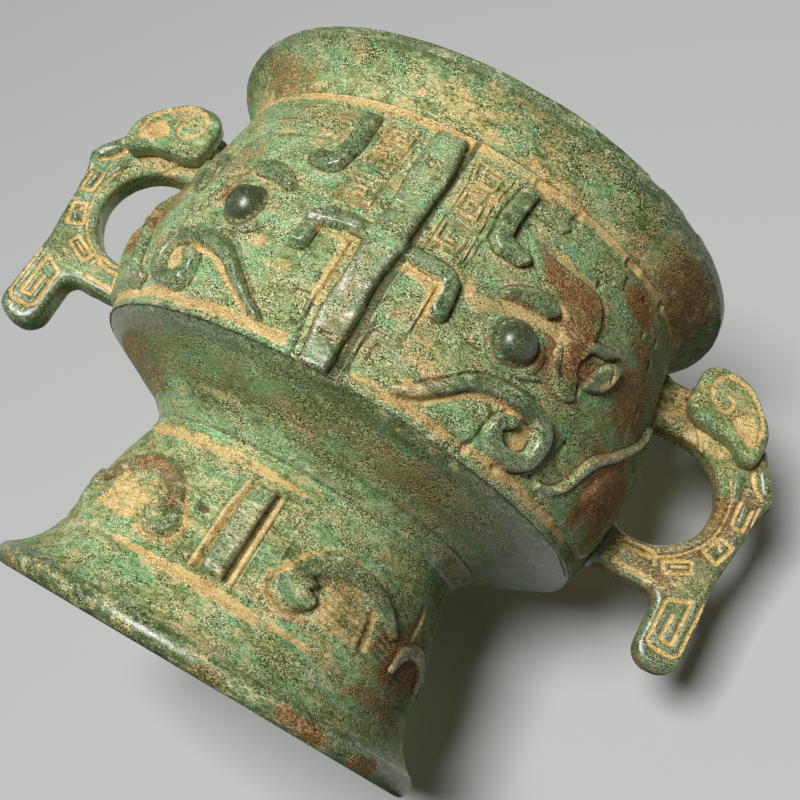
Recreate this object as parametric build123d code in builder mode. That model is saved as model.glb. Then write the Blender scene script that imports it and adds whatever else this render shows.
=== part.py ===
"""Bronze gui, a two-handled food vessel: bowl, ring foot, animal-headed handles, their ears and rivets."""
import math
import os
from build123d import *

os.makedirs("parts", exist_ok=True)

# Ring foot, in millimetres, with heights counted up from the table
foot_rim_radius = 51.5
foot_rim_height = 4.0
foot_flare_height = 11.0
foot_band_height = 24.4
foot_neck_height = 7.1
foot_band_radius = 43.4
foot_band_top_radius = 38.8
foot_neck_radius = 38.0
foot_collar_height = 3.0
foot_wall = 3.2
foot_rim_wall = 4.0
foot_rim_round = 1.4
foot_flare_hollow = 1.1
foot_band_swell = 0.6

# Bowl, from its seat on the foot up to the lip
underside_height = 11.1
belly_height = 56.9
rim_height = 14.0
belly_radius = 63.2
belly_fullest = 21.0
shoulder_edge = 1.4
throat_inset = 5.4
throat_line = 1.5
mouth_overhang = 1.8
flare_hollow = 0.9
bowl_wall = 3.5
inner_corner_rise = 2.3
lip_wall = 2.8
lip_upright = 3.0
lip_round = 1.2

# Register ring under the bowl that centres the foot, and the filler metal in the corner
register_height = 2.0
register_wall = 3.0
register_clearance = 0.15
braze_leg = 2.4
seam = 0.15

# Raised mask on the belly: one quarter of it, by azimuth in degrees from the front ridge and by height
mask_relief = 1.7
ridge_relief = 2.4
ridge_width = 7.6
relief_root = 1.2
mask_azimuth = 30.0
flank_azimuth = 62.0
eye_azimuth = 28.0
eye_height = 24.4
eye_radius = 4.6
eye_stand = 3.4
eye_round = 3.0
foot_ridge_width = 4.6
foot_ridge_relief = 1.2
foot_ridge_margin = 1.2
scroll_azimuth = 34.0
tail_azimuth = 70.0

# Handles, placed from the belly's fullest ring and the shoulder
opening_standoff = 5.3
opening_rise = 29.4
opening_radius = 13.2
loop_width = 8.9
arm_top_rise = 24.5
handle_thickness = 8.0
handle_round = 1.6
tab_width = 11.2
tab_standoff = 15.7
tab_drop = 37.5
tab_round = 5.0
tab_fillet = 2.5
skull_reach = 8.5
skull_rise = 0.8
skull_bend = 9.0
snout_slope = 4.5
snout_reach = 2.4
snout_rise = 9.4
snout_bend = 1.8
chin_reach = 0.6
chin_rise = 4.6
waist_depth = 1.9
waist_drop = 14.0
waist_bend = 14.0
ear_thickness = 5.0
ear_round = 1.8

# Rivets through the handle roots
rivet_radius = 2.5
rivet_clearance = 0.15
rivet_head_radius = 4.6
rivet_head_height = 2.2
rivet_spot_depth = 1.0
rivet_grip = 6.0
rivet_end_gap = 0.3

# Levels and derived places
foot_flare_z = foot_rim_height + foot_flare_height
foot_band_z = foot_flare_z + foot_band_height
seat_z = foot_band_z + foot_neck_height
shoulder_z = seat_z + underside_height
fullest_z = shoulder_z + belly_fullest
throat_z = shoulder_z + belly_height
flare_z = throat_z + throat_line
lip_z = throat_z + rim_height
edge_z = shoulder_z + shoulder_edge
shoulder_radius = math.sqrt(belly_radius**2 - (fullest_z - edge_z) ** 2)
throat_radius = belly_radius - throat_inset
mouth_radius = belly_radius + mouth_overhang
foot_bore_radius = foot_neck_radius - foot_wall
underside_slope = underside_height / (shoulder_radius - foot_neck_radius)
underside_stretch = math.hypot(1.0, underside_slope)
loop_x = belly_radius + opening_standoff
loop_z = shoulder_z + opening_rise
loop_outer_radius = opening_radius + loop_width
opening_top_z = loop_z + opening_radius
opening_low_z = loop_z - opening_radius
arm_top_z = loop_z + arm_top_rise
arm_low_z = loop_z - loop_outer_radius
half_thickness = handle_thickness / 2


# The belly is a zone of a sphere up to the cone that leads on, without a break, to the throat
cone_angle = math.atan2(throat_z - fullest_z, throat_radius)
cone_angle -= math.acos(belly_radius / math.hypot(throat_radius, throat_z - fullest_z))
cone_z = fullest_z + belly_radius * math.sin(cone_angle)


def sphere_radius_at(z, gap):
    """Radius of the belly's spherical zone, moved outwards by gap, at a height."""
    return math.sqrt((belly_radius + gap) ** 2 - (z - fullest_z) ** 2)


def belly_radius_at(z):
    """Radius of the belly's outline at a height between the shoulder and the throat."""
    if z > cone_z:
        return throat_radius + (throat_z - z) * math.tan(cone_angle)
    return sphere_radius_at(z, 0)


def belly_foot(gap):
    """Point at the shoulder where the belly's outline, moved outwards by gap, begins."""
    return (sphere_radius_at(edge_z, gap), shoulder_z)


def belly_end(gap):
    """Point at the throat where the belly's outline, moved outwards by gap, ends."""
    return (throat_radius + gap * math.cos(cone_angle), throat_z + gap * math.sin(cone_angle))


def belly_sweep(low, gap):
    """Draw the belly's arc and cone from a low point of it up to the throat, moved outwards by gap."""
    reach = belly_radius + gap
    cone_foot = (reach * math.cos(cone_angle), fullest_z + reach * math.sin(cone_angle))
    ThreePointArc(low, (reach, fullest_z), cone_foot)
    Line(cone_foot, belly_end(gap))


def belly_line(gap):
    """Draw the belly's outline from shoulder to throat, moved outwards by gap."""
    edge_top = (sphere_radius_at(edge_z, gap), edge_z)
    Line(belly_foot(gap), edge_top)
    belly_sweep(edge_top, gap)


def flare_bow(low, high):
    """Middle point of a hollow flare between two points of a profile, low and high."""
    return ((low[0] + high[0]) / 2 - flare_hollow, (low[1] + high[1]) / 2 + flare_hollow)


def upright_plane(azimuth):
    """Upright plane through the bowl's axis whose outward side faces an azimuth from the front."""
    sine, cosine = math.sin(math.radians(azimuth)), math.cos(math.radians(azimuth))
    return Plane((0, 0, 0), x_dir=(cosine, sine, 0), z_dir=(sine, -cosine, 0))


def on_belly(facing, azimuth, height):
    """Sketch point, facing an azimuth, of a place on the belly by azimuth and by height over the shoulder."""
    z = shoulder_z + height
    return (belly_radius_at(z) * math.sin(math.radians(azimuth - facing)), z)


def on_foot(facing, azimuth, height):
    """Sketch point, facing an azimuth, of a place on the foot's band by azimuth and by height in it."""
    share = height / foot_band_height
    radius = foot_band_radius + share * (foot_band_top_radius - foot_band_radius)
    return (radius * math.sin(math.radians(azimuth - facing)), foot_flare_z + height)


def draw_bowed(place, facing, arcs):
    """Draw a closed outline of three-point arcs, with a straight run from the last one back to the first."""
    for arc in arcs:
        ThreePointArc(*[place(facing, *point) for point in arc])
    if arcs[-1][-1] != arcs[0][0]:
        Line(place(facing, *arcs[-1][-1]), place(facing, *arcs[0][0]))


# One quarter of the mask, cut to stand out from the belly by an even height
horn_corners = [(15, 55.7), (46, 55.7), (45, 49.5), (19.8, 49.5),
                (19.8, 42.3), (26, 42.3), (26, 38.5), (15, 38.5)]
nose_corners = [(2, 26.0), (11.6, 26.0), (11.6, 19.0), (15.3, 19.0), (15.3, 29.6), (2, 29.6)]
brow_arcs = [[(21.5, 30.6), (27, 36.2), (33.4, 34.8)], [(33.4, 34.8), (28.5, 32.6), (21.5, 30.6)]]
jaw_arcs = [[(14, 3.2), (21.5, 12.2), (32, 17.6)], [(32, 17.6), (45.4, 12.0), (38, 3.2)],
            [(38, 3.2), (31.4, 6.0), (34.6, 10.6)], [(34.6, 10.6), (35.2, 7.6), (37.6, 6.9)],
            [(37.6, 6.9), (41.2, 11.4), (32.5, 13.2)], [(32.5, 13.2), (24.5, 9.2), (14, 3.2)]]
mask_ear_arcs = [[(41.2, 30.4), (44.6, 37.8), (53.8, 36.4)], [(53.8, 36.4), (53.0, 30.0), (45.6, 28.0)]]
haunch_arcs = [[(47.4, 3.8), (54.8, 9.4), (57.4, 16.0)], [(57.4, 16.0), (63.0, 25.0), (79.0, 33.6)],
               [(79.0, 33.6), (80.4, 19.0), (79.0, 3.8)]]

eye_z = shoulder_z + eye_height
eye_root = belly_radius_at(eye_z) - relief_root
eye_plane = upright_plane(eye_azimuth)

with BuildPart() as eye:
    with BuildSketch(eye_plane.offset(eye_root)):
        with Locations((0, eye_z)):
            Circle(eye_radius)
    extrude(amount=relief_root + eye_stand)
    fillet(eye.faces().sort_by(Axis((0, 0, 0), eye_plane.z_dir))[-1].edges(), eye_round)

with BuildPart() as mask:
    with BuildSketch(upright_plane(mask_azimuth)):
        for corners in (horn_corners, nose_corners):
            with BuildLine():
                Polyline(*[on_belly(mask_azimuth, *corner) for corner in corners], close=True)
            make_face()
        for arcs in (brow_arcs, jaw_arcs):
            with BuildLine():
                draw_bowed(on_belly, mask_azimuth, arcs)
            make_face()
    extrude(amount=2 * belly_radius)
    with BuildSketch(upright_plane(flank_azimuth)):
        for arcs in (mask_ear_arcs, haunch_arcs):
            with BuildLine():
                draw_bowed(on_belly, flank_azimuth, arcs)
            make_face()
    extrude(amount=2 * belly_radius)
    with BuildSketch(Plane.XZ):
        with BuildLine():
            belly_line(mask_relief)
            Line(belly_foot(mask_relief), belly_foot(-relief_root))
            belly_line(-relief_root)
            Line(belly_end(mask_relief), belly_end(-relief_root))
        make_face()
    revolve(axis=Axis.Z, mode=Mode.INTERSECT)
    add(eye.part)

# Ridges down the middle of the front and the back of the belly
with BuildPart() as ridges:
    with BuildSketch(Plane.XZ):
        with Locations((0, (shoulder_z + throat_z) / 2)):
            Rectangle(ridge_width, belly_height)
    extrude(amount=2 * belly_radius, both=True)
    with BuildSketch(Plane.XZ):
        with BuildLine():
            belly_line(ridge_relief)
            Line(belly_foot(ridge_relief), belly_foot(-relief_root))
            belly_line(-relief_root)
            Line(belly_end(ridge_relief), belly_end(-relief_root))
        make_face()
    revolve(axis=Axis.Z, mode=Mode.INTERSECT)

# Bowl: one revolved wall with a hollow flared rim, carrying the mask, and bored for the rivets
upper_rivet_z = (opening_top_z + arm_top_z) / 2
lower_rivet_z = (opening_low_z + arm_low_z) / 2
floor_z = seat_z + bowl_wall * underside_stretch
inner_corner_z = shoulder_z + inner_corner_rise
inner_corner = (sphere_radius_at(inner_corner_z, -bowl_wall), inner_corner_z)
inner_throat = (throat_radius - bowl_wall, flare_z)
inner_lip = (mouth_radius - lip_wall, lip_z - lip_upright)
outer_throat = (throat_radius, flare_z)
outer_lip = (mouth_radius, lip_z - lip_upright)

with BuildPart() as bowl:
    with BuildSketch(Plane.XZ):
        with BuildLine():
            Polyline((0, floor_z), (0, seat_z), (foot_neck_radius, seat_z), (shoulder_radius, shoulder_z))
            belly_line(0)
            Line((throat_radius, throat_z), outer_throat)
            ThreePointArc(outer_throat, flare_bow(outer_throat, outer_lip), outer_lip)
            Polyline(outer_lip, (mouth_radius, lip_z), (mouth_radius - lip_wall, lip_z), inner_lip)
            ThreePointArc(inner_lip, flare_bow(inner_throat, inner_lip), inner_throat)
            Line(inner_throat, belly_end(-bowl_wall))
            belly_sweep(inner_corner, -bowl_wall)
            Polyline(inner_corner, (foot_neck_radius, floor_z), (0, floor_z))
        make_face()
    revolve(axis=Axis.Z)
    fillet(bowl.edges().filter_by(GeomType.CIRCLE).group_by(Axis.Z)[-1], lip_round)
    with BuildSketch(Plane.XY.offset(seat_z)):
        Circle(foot_bore_radius - register_clearance)
        Circle(foot_bore_radius - register_clearance - register_wall, mode=Mode.SUBTRACT)
    extrude(amount=-register_height)
    add(ridges.part)
    add(mask.part)
    mirror(mask.part, about=Plane.YZ)
    mirror(mask.part, about=Plane.XZ)
    mirror(mirror(mask.part, about=Plane.YZ, mode=Mode.PRIVATE), about=Plane.XZ)
    for rivet_z in (upper_rivet_z, lower_rivet_z):
        spot_x = belly_radius_at(rivet_z) - bowl_wall + rivet_spot_depth
        with BuildSketch(Plane.YZ):
            with Locations((0, rivet_z)):
                Circle(rivet_radius + rivet_clearance)
        extrude(amount=2 * belly_radius, both=True, mode=Mode.SUBTRACT)
        with BuildSketch(Plane.YZ):
            with Locations((0, rivet_z)):
                Circle(rivet_head_radius + rivet_clearance)
        extrude(amount=spot_x, both=True, mode=Mode.SUBTRACT)
bowl.part.label = "bowl"
export_step(bowl.part, "parts/bowl.step")

# Ring foot: hollow, flared to its standing rim, with a ridge and scrolls raised on its band, front and back
foot_inner_rim = foot_rim_radius - foot_rim_wall
foot_outline = [(foot_rim_radius, foot_rim_height), (foot_band_radius, foot_flare_z),
                (foot_band_top_radius, foot_band_z), (foot_neck_radius, seat_z - foot_collar_height)]
foot_flare_middle = ((foot_rim_radius + foot_band_radius) / 2 - foot_flare_hollow,
                     (foot_rim_height + foot_flare_z) / 2 - foot_flare_hollow)
foot_band_middle = ((foot_band_radius + foot_band_top_radius) / 2 + foot_band_swell,
                    (foot_flare_z + foot_band_z) / 2 + foot_band_swell)

scroll_arcs = [[(53.0, 13.0), (33.0, 20.6), (15.4, 11.6)], [(15.4, 11.6), (16.2, 5.4), (22.0, 4.6)],
               [(22.0, 4.6), (28.2, 7.6), (25.6, 13.0)], [(25.6, 13.0), (37.0, 15.4), (50.0, 10.2)]]
tail_arcs = [[(57.0, 5.2), (69.5, 13.0), (82.0, 5.2)], [(82.0, 5.2), (80.4, 4.4), (78.4, 4.4)],
             [(78.4, 4.4), (69.5, 9.0), (60.6, 4.4)]]

with BuildPart() as foot_band:
    with BuildSketch(Plane.XZ):
        with BuildLine():
            for gap in (foot_ridge_relief, -relief_root):
                ThreePointArc(
                    (foot_band_radius + gap, foot_flare_z),
                    (foot_band_middle[0] + gap, foot_band_middle[1]),
                    (foot_band_top_radius + gap, foot_band_z),
                )
            for level, radius in ((foot_flare_z, foot_band_radius), (foot_band_z, foot_band_top_radius)):
                Line((radius + foot_ridge_relief, level), (radius - relief_root, level))
        make_face()
    revolve(axis=Axis.Z)

with BuildPart() as foot_ridges:
    with BuildSketch(Plane.XZ):
        with Locations((0, (foot_flare_z + foot_band_z) / 2)):
            Rectangle(foot_ridge_width, foot_band_height - 2 * foot_ridge_margin)
    extrude(amount=2 * foot_band_radius, both=True)
    add(foot_band.part, mode=Mode.INTERSECT)

with BuildPart() as foot_scrolls:
    for facing, arcs in ((scroll_azimuth, scroll_arcs), (tail_azimuth, tail_arcs)):
        with BuildSketch(upright_plane(facing)):
            with BuildLine():
                draw_bowed(on_foot, facing, arcs)
            make_face()
        extrude(amount=2 * foot_band_radius)
    add(foot_band.part, mode=Mode.INTERSECT)

with BuildPart() as ring_foot:
    with BuildSketch(Plane.XZ):
        with BuildLine():
            Polyline((foot_inner_rim, 0), (foot_rim_radius, 0), foot_outline[0])
            ThreePointArc(foot_outline[0], foot_flare_middle, foot_outline[1])
            ThreePointArc(foot_outline[1], foot_band_middle, foot_outline[2])
            Polyline(foot_outline[2], foot_outline[3], (foot_neck_radius, seat_z),
                     (foot_bore_radius, seat_z), (foot_bore_radius, seat_z - foot_collar_height),
                     (foot_band_top_radius - foot_wall, foot_band_z),
                     (foot_band_radius - foot_wall, foot_flare_z), (foot_inner_rim, foot_rim_height),
                     (foot_inner_rim, 0))
        make_face()
    revolve(axis=Axis.Z)
    rim_edges = ring_foot.edges().filter_by(GeomType.CIRCLE).filter_by_position(Axis.Z, 0, foot_rim_height)
    fillet(rim_edges.sort_by(SortBy.RADIUS)[-2:], foot_rim_round)
    add(foot_ridges.part)
    add(foot_scrolls.part)
    mirror(foot_scrolls.part, about=Plane.YZ)
    mirror(foot_scrolls.part, about=Plane.XZ)
    mirror(mirror(foot_scrolls.part, about=Plane.YZ, mode=Mode.PRIVATE), about=Plane.XZ)
ring_foot.part.label = "ring_foot"
export_step(ring_foot.part, "parts/ring_foot.step")

# Filler metal in the corner between the foot's collar and the bowl's underside
braze_lift = seam * underside_stretch
braze_corner = (foot_neck_radius + seam, seat_z + underside_slope * seam - braze_lift)
braze_upper = (foot_neck_radius + braze_leg, seat_z + underside_slope * braze_leg - braze_lift)
braze_lower = (foot_neck_radius + seam, seat_z - braze_leg)
braze_middle = ((braze_upper[0] + braze_lower[0] + braze_corner[0]) / 3,
                (braze_upper[1] + braze_lower[1] + braze_corner[1]) / 3)

with BuildPart() as foot_braze:
    with BuildSketch(Plane.XZ):
        with BuildLine():
            Polyline(braze_lower, braze_corner, braze_upper)
            ThreePointArc(braze_upper, braze_middle, braze_lower)
        make_face()
    revolve(axis=Axis.Z)
foot_braze.part.label = "foot_braze"
export_step(foot_braze.part, "parts/foot_braze.step")

# Handle: loop, head and hanging tab in one casting, its roots shaped to the belly and bored for the rivets
root_x = loop_x / 2
loop_side_x = loop_x + loop_outer_radius
tab_outer_x = loop_x + tab_standoff + tab_width / 2
tab_inner_x = loop_x + tab_standoff - tab_width / 2
tab_end_z = loop_z - tab_drop
handle_path = [(root_x, arm_top_z), (loop_x + skull_reach, arm_top_z + skull_rise),
               (loop_side_x - snout_slope, arm_top_z - snout_slope),
               (loop_side_x + snout_reach, loop_z + snout_rise),
               (loop_side_x + chin_reach, loop_z + chin_rise),
               (loop_side_x - waist_depth, loop_z - waist_drop), (tab_outer_x, tab_end_z),
               (tab_inner_x, tab_end_z), (tab_inner_x, arm_low_z), (root_x, arm_low_z)]
handle_bends = [skull_bend, skull_bend, snout_bend, snout_bend, waist_bend, tab_round, tab_round, tab_fillet]

with BuildPart() as right_handle:
    with BuildSketch(Plane.XZ):
        with BuildLine():
            FilletPolyline(*handle_path, radius=handle_bends)
            Polyline((root_x, arm_low_z), (root_x, opening_low_z), (loop_x, opening_low_z))
            ThreePointArc((loop_x, opening_low_z), (loop_x + opening_radius, loop_z), (loop_x, opening_top_z))
            Polyline((loop_x, opening_top_z), (root_x, opening_top_z), (root_x, arm_top_z))
        make_face()
    extrude(amount=half_thickness, both=True)
    fillet(right_handle.faces().filter_by(Axis.Y).edges(), handle_round)
    with BuildSketch(Plane.XZ):
        with BuildLine():
            belly_line(seam)
            Polyline(belly_foot(seam), (0, shoulder_z), (0, throat_z), belly_end(seam))
        make_face()
    revolve(axis=Axis.Z, mode=Mode.SUBTRACT)
    for rivet_z in (upper_rivet_z, lower_rivet_z):
        with BuildSketch(Plane.YZ):
            with Locations((0, rivet_z)):
                Circle(rivet_radius + rivet_clearance)
        extrude(amount=belly_radius_at(rivet_z) + rivet_grip + rivet_end_gap, mode=Mode.SUBTRACT)
right_handle.part.label = "right_handle"
export_step(right_handle.part, "parts/right_handle.step")

with BuildPart() as left_handle:
    mirror(right_handle.part, about=Plane.YZ)
left_handle.part.label = "left_handle"
export_step(left_handle.part, "parts/left_handle.step")

# Ears: leaf-shaped plates on both sides of each head, with a rounded outer edge
ear_corners = [(-3.2, 17.2), (-3.4, 31.8), (8.0, 31.2), (17.2, 21.5), (16.2, 10.2), (9.5, 15.6)]
ear_bends = [4.5, 4.5, 10.0, 9.0, 2.6, 6.0]

with BuildPart() as right_front_ear:
    with BuildSketch(Plane.XZ.offset(half_thickness)):
        with BuildLine():
            ear_path = [(loop_x + dx, loop_z + dz) for dx, dz in ear_corners]
            FilletPolyline(*ear_path, radius=ear_bends, close=True)
        make_face()
    extrude(amount=ear_thickness)
    fillet(right_front_ear.faces().sort_by(Axis.Y)[0].edges(), ear_round)
right_front_ear.part.label = "right_front_ear"
export_step(right_front_ear.part, "parts/right_front_ear.step")

with BuildPart() as right_rear_ear:
    mirror(right_front_ear.part, about=Plane.XZ)
right_rear_ear.part.label = "right_rear_ear"
export_step(right_rear_ear.part, "parts/right_rear_ear.step")

with BuildPart() as left_front_ear:
    mirror(right_front_ear.part, about=Plane.YZ)
left_front_ear.part.label = "left_front_ear"
export_step(left_front_ear.part, "parts/left_front_ear.step")

with BuildPart() as left_rear_ear:
    mirror(right_rear_ear.part, about=Plane.YZ)
left_rear_ear.part.label = "left_rear_ear"
export_step(left_rear_ear.part, "parts/left_rear_ear.step")

# Rivets: a domed head in a spot face inside the bowl, and a shank through the wall into the handle's root
dome_radius = (rivet_head_radius**2 + rivet_head_height**2) / (2 * rivet_head_height)
dome_rise = rivet_head_height - dome_radius + math.sqrt(dome_radius**2 - rivet_head_radius**2 / 4)

for level, rivet_z in (("upper", upper_rivet_z), ("lower", lower_rivet_z)):
    head_x = belly_radius_at(rivet_z) - bowl_wall + rivet_spot_depth
    tip_x = belly_radius_at(rivet_z) + rivet_grip
    dome_top = (head_x - rivet_head_height, 0)
    dome_middle = (head_x - dome_rise, rivet_head_radius / 2)
    with BuildPart() as right_rivet:
        with BuildSketch(Plane.XY.offset(rivet_z)):
            with BuildLine():
                ThreePointArc(dome_top, dome_middle, (head_x, rivet_head_radius))
                Polyline((head_x, rivet_head_radius), (head_x, rivet_radius), (tip_x, rivet_radius),
                         (tip_x, 0), dome_top)
            make_face()
        revolve(axis=Axis((0, 0, rivet_z), (1, 0, 0)))
    right_rivet.part.label = f"right_{level}_rivet"
    export_step(right_rivet.part, f"parts/right_{level}_rivet.step")
    with BuildPart() as left_rivet:
        mirror(right_rivet.part, about=Plane.YZ)
    left_rivet.part.label = f"left_{level}_rivet"
    export_step(left_rivet.part, f"parts/left_{level}_rivet.step")
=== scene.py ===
"""Looks of a bronze gui, a two-handled food vessel with a raised mask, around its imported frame."""
import math

import bmesh
import bpy
import numpy as np
from mathutils import Matrix, Vector


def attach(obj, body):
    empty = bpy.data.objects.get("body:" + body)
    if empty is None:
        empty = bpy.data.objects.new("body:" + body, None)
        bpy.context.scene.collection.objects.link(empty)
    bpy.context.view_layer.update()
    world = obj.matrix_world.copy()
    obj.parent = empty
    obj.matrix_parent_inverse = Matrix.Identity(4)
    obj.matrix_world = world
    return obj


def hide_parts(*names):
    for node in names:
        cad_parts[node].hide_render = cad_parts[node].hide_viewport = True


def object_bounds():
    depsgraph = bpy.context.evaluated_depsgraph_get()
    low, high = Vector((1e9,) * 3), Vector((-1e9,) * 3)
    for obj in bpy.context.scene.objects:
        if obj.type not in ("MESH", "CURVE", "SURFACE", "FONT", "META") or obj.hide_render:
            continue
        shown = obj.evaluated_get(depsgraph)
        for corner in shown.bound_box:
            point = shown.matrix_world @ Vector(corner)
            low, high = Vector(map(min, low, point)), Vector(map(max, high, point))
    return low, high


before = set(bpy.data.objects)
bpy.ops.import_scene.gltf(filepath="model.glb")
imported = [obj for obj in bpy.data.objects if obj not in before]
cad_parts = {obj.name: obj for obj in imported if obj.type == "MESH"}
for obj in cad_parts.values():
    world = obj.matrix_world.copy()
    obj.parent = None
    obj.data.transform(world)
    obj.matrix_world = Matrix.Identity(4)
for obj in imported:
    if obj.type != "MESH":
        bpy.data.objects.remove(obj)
cad_low, cad_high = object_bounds()

# Bowl: one bronze casting with a flared rim, a plain inside and a sharp-edged cone underneath.
# It was cast in piece moulds and buried, so a green patina covers it and ochre earth stays in its hollows.
# The belly's own skin follows in the next section and lies over the set-back band made here.
MM = 0.001
seat, shoulder, fullest, throat, flare, lip = 46.5, 57.6, 78.6, 114.5, 116.0, 128.5
neck_radius, belly_radius, throat_radius, mouth_radius = 38.0, 63.2, 57.8, 65.0
wall, lip_wall, set_back = 3.5, 2.8, 1.35
cone_turn = math.atan2(throat - fullest, throat_radius)
cone_turn -= math.acos(belly_radius / math.hypot(throat_radius, throat - fullest))


def belly_at(height):
    """Radius of the belly's ground at a height: a zone of a sphere, then the cone up to the throat."""
    zone = np.sqrt(np.maximum(belly_radius**2 - (height - fullest) ** 2, 0))
    cone = throat_radius + (throat - np.minimum(height, throat)) * math.tan(cone_turn)
    return np.where(height > fullest + belly_radius * math.sin(cone_turn), cone, zone)


def walk(points, step):
    """Points of an outline, with further points along its long runs."""
    found = []
    for (r0, z0), (r1, z1) in zip(points, points[1:]):
        count = max(1, round(math.dist((r0, z0), (r1, z1)) / step))
        found += [(r0 + (r1 - r0) * i / count, z0 + (z1 - z0) * i / count) for i in range(count)]
    return found + [points[-1]]


def bow(low, middle, high, count=16):
    """Points of a shallow curve through three points of an outline."""
    pull = [2 * m - (a + b) / 2 for a, m, b in zip(low, middle, high)]
    shares = [i / count for i in range(count + 1)]
    return [tuple((1 - t) ** 2 * a + 2 * t * (1 - t) * c + t * t * b for a, c, b in zip(low, pull, high))
            for t in shares]


def turn_shell(name, outline, steps, sweep=360):
    """Mesh turned about the upright axis from an outline of radii and heights, with the front at its middle."""
    whole, ring = sweep == 360, outline[0][0] > 0
    turns = np.radians(np.linspace(-sweep / 2, sweep / 2, steps + 1))[: steps if whole else None, None]
    radii, heights = np.array(outline).T
    points = np.stack((np.sin(turns) * radii, -np.cos(turns) * radii, 0 * turns + heights), 2)
    one = np.arange(points[..., 0].size).reshape(points.shape[:2])
    two, three, four = np.roll(one, -1, 0), np.roll(one, (-1, -1), (0, 1)), np.roll(one, -1, 1)
    quads = np.stack((one, two, three, four), 2)[: None if whole else -1, : None if ring else -1]
    caps = [] if whole else [one[0].tolist(), one[-1].tolist()]
    mesh = bpy.data.meshes.new(name)
    mesh.from_pydata((points * MM).reshape(-1, 3), [], quads.reshape(-1, 4).tolist() + caps)
    bm = bmesh.new()
    bm.from_mesh(mesh)
    bmesh.ops.remove_doubles(bm, verts=bm.verts, dist=1e-7)
    bmesh.ops.recalc_face_normals(bm, faces=bm.faces)
    bm.to_mesh(mesh)
    bm.free()
    return mesh


def points_of(mesh):
    """A mesh's points in millimetres."""
    found = np.empty(len(mesh.vertices) * 3)
    mesh.vertices.foreach_get("co", found)
    return found.reshape(-1, 3) / MM


def normals_of(mesh):
    """Outward directions at a mesh's points."""
    found = np.empty(len(mesh.vertices) * 3)
    mesh.vertex_normals.foreach_get("vector", found)
    return found.reshape(-1, 3)


def azimuth_of(points):
    """Azimuths of points about the upright axis, in degrees from the front."""
    return np.degrees(np.arctan2(points[:, 0], -points[:, 1]))


def reach_of(points):
    """Distances of points from the upright axis."""
    return np.hypot(points[:, 0], points[:, 1])


def set_points(mesh, points):
    """Move a mesh's points, kept inside the box of the solids."""
    mesh.vertices.foreach_set("co", np.clip(points * MM, cad_low, cad_high).ravel())
    mesh.update()


lumps_table = np.random.default_rng(5).uniform(-1, 1, 64**3)


def cloud(points, size, seed):
    """Smooth noise, from -1 to 1, at points in millimetres, with lumps of about that size."""
    spot = points / size + np.array((17.31, 5.13, 9.77)) * seed
    cell = np.floor(spot).astype(np.int64)
    share = spot - cell
    share = share * share * (3 - 2 * share)
    found = np.zeros(len(points))
    for corner in np.ndindex(2, 2, 2):
        weight = np.where(corner, share, 1 - share).prod(1)
        found += weight * lumps_table[((cell + corner) % 64) @ (4096, 64, 1)]
    return found


def soften(mesh, values, rounds):
    """Values at a mesh's points, averaged with their neighbours again and again."""
    ends = np.empty(len(mesh.edges) * 2, np.int64)
    mesh.edges.foreach_get("vertices", ends)
    one, two = ends[::2], ends[1::2]
    count = np.bincount(ends, minlength=len(values))[:, None]
    for _ in range(rounds):
        sums = [np.bincount(one, v[two], len(v)) + np.bincount(two, v[one], len(v)) for v in values.T]
        values = (values + np.stack(sums, 1) / count) / 2
    return values


def ease(values, low, high):
    """Values brought from 0 at low to 1 at high, smoothly."""
    share = np.clip((values - low) / (high - low), 0, 1)
    return share * share * (3 - 2 * share)


def weather(mesh, seed, rust=0.0, earth=0.0, grime_and_shade=0.0, polish=0.0, worn=0.0):
    """Mark a carved mesh with earth in its hollows, polish on what stands proud, given stains, and grime with
    painted shade in its creases.
    """
    points, normals = points_of(mesh), normals_of(mesh)
    fine = soften(mesh, points, 6)
    broad = soften(mesh, fine, 90)
    hollow = ((broad - points) * normals).sum(1) + 0.06 * cloud(points, 6.0, seed + 3)
    crease = ((fine - points) * normals).sum(1)
    marks = {
        "earth": 0.3 * ease(hollow, 0.1, 0.5) + 0.12 * ease(crease, 0.04, 0.15) + earth,
        "polish": 0.6 * ease(-hollow, 0.12, 0.5) + 0.2 * ease(-crease, 0.03, 0.12) + polish,
        "rust": rust + np.zeros(len(points)),
        "worn": 0.3 * ease(-crease, 0.05, 0.15) + worn,
        # Dark grime in creases, which is also painted shade there.
        "grime_and_shade": 0.8 * ease(crease, 0.05, 0.15) * (1 - np.clip(1.3 * earth, 0, 1)) + grime_and_shade,
    }
    for name, values in marks.items():
        values = np.clip(values, 0, 1).astype(np.float32)
        mesh.attributes.new(name, "FLOAT", "POINT").data.foreach_set("value", values)


def stain(across, height, spots, seed):
    """Strength of ragged stains, each given by its centre, half sizes and own strength."""
    ragged = 0.45 * cloud(np.stack((across, height, 0 * across), 1), 4.0, seed)
    found = np.zeros(len(across))
    for x, z, wide, high, strength in spots:
        share = ease(-np.hypot((across - x) / wide, (height - z) / high) - ragged, -1.3, -0.4)
        found = np.maximum(found, strength * share)
    return found


def wire(tree, kind, inputs, **settings):
    """New shader node with its settings and its inputs, each a value or another node's socket."""
    node = tree.nodes.new("ShaderNode" + kind)
    for key, value in settings.items():
        setattr(node, key, value)
    for key, value in inputs.items():
        if isinstance(value, bpy.types.NodeSocket):
            tree.links.new(value, node.inputs[key])
        else:
            node.inputs[key].default_value = value
    return node


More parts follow.
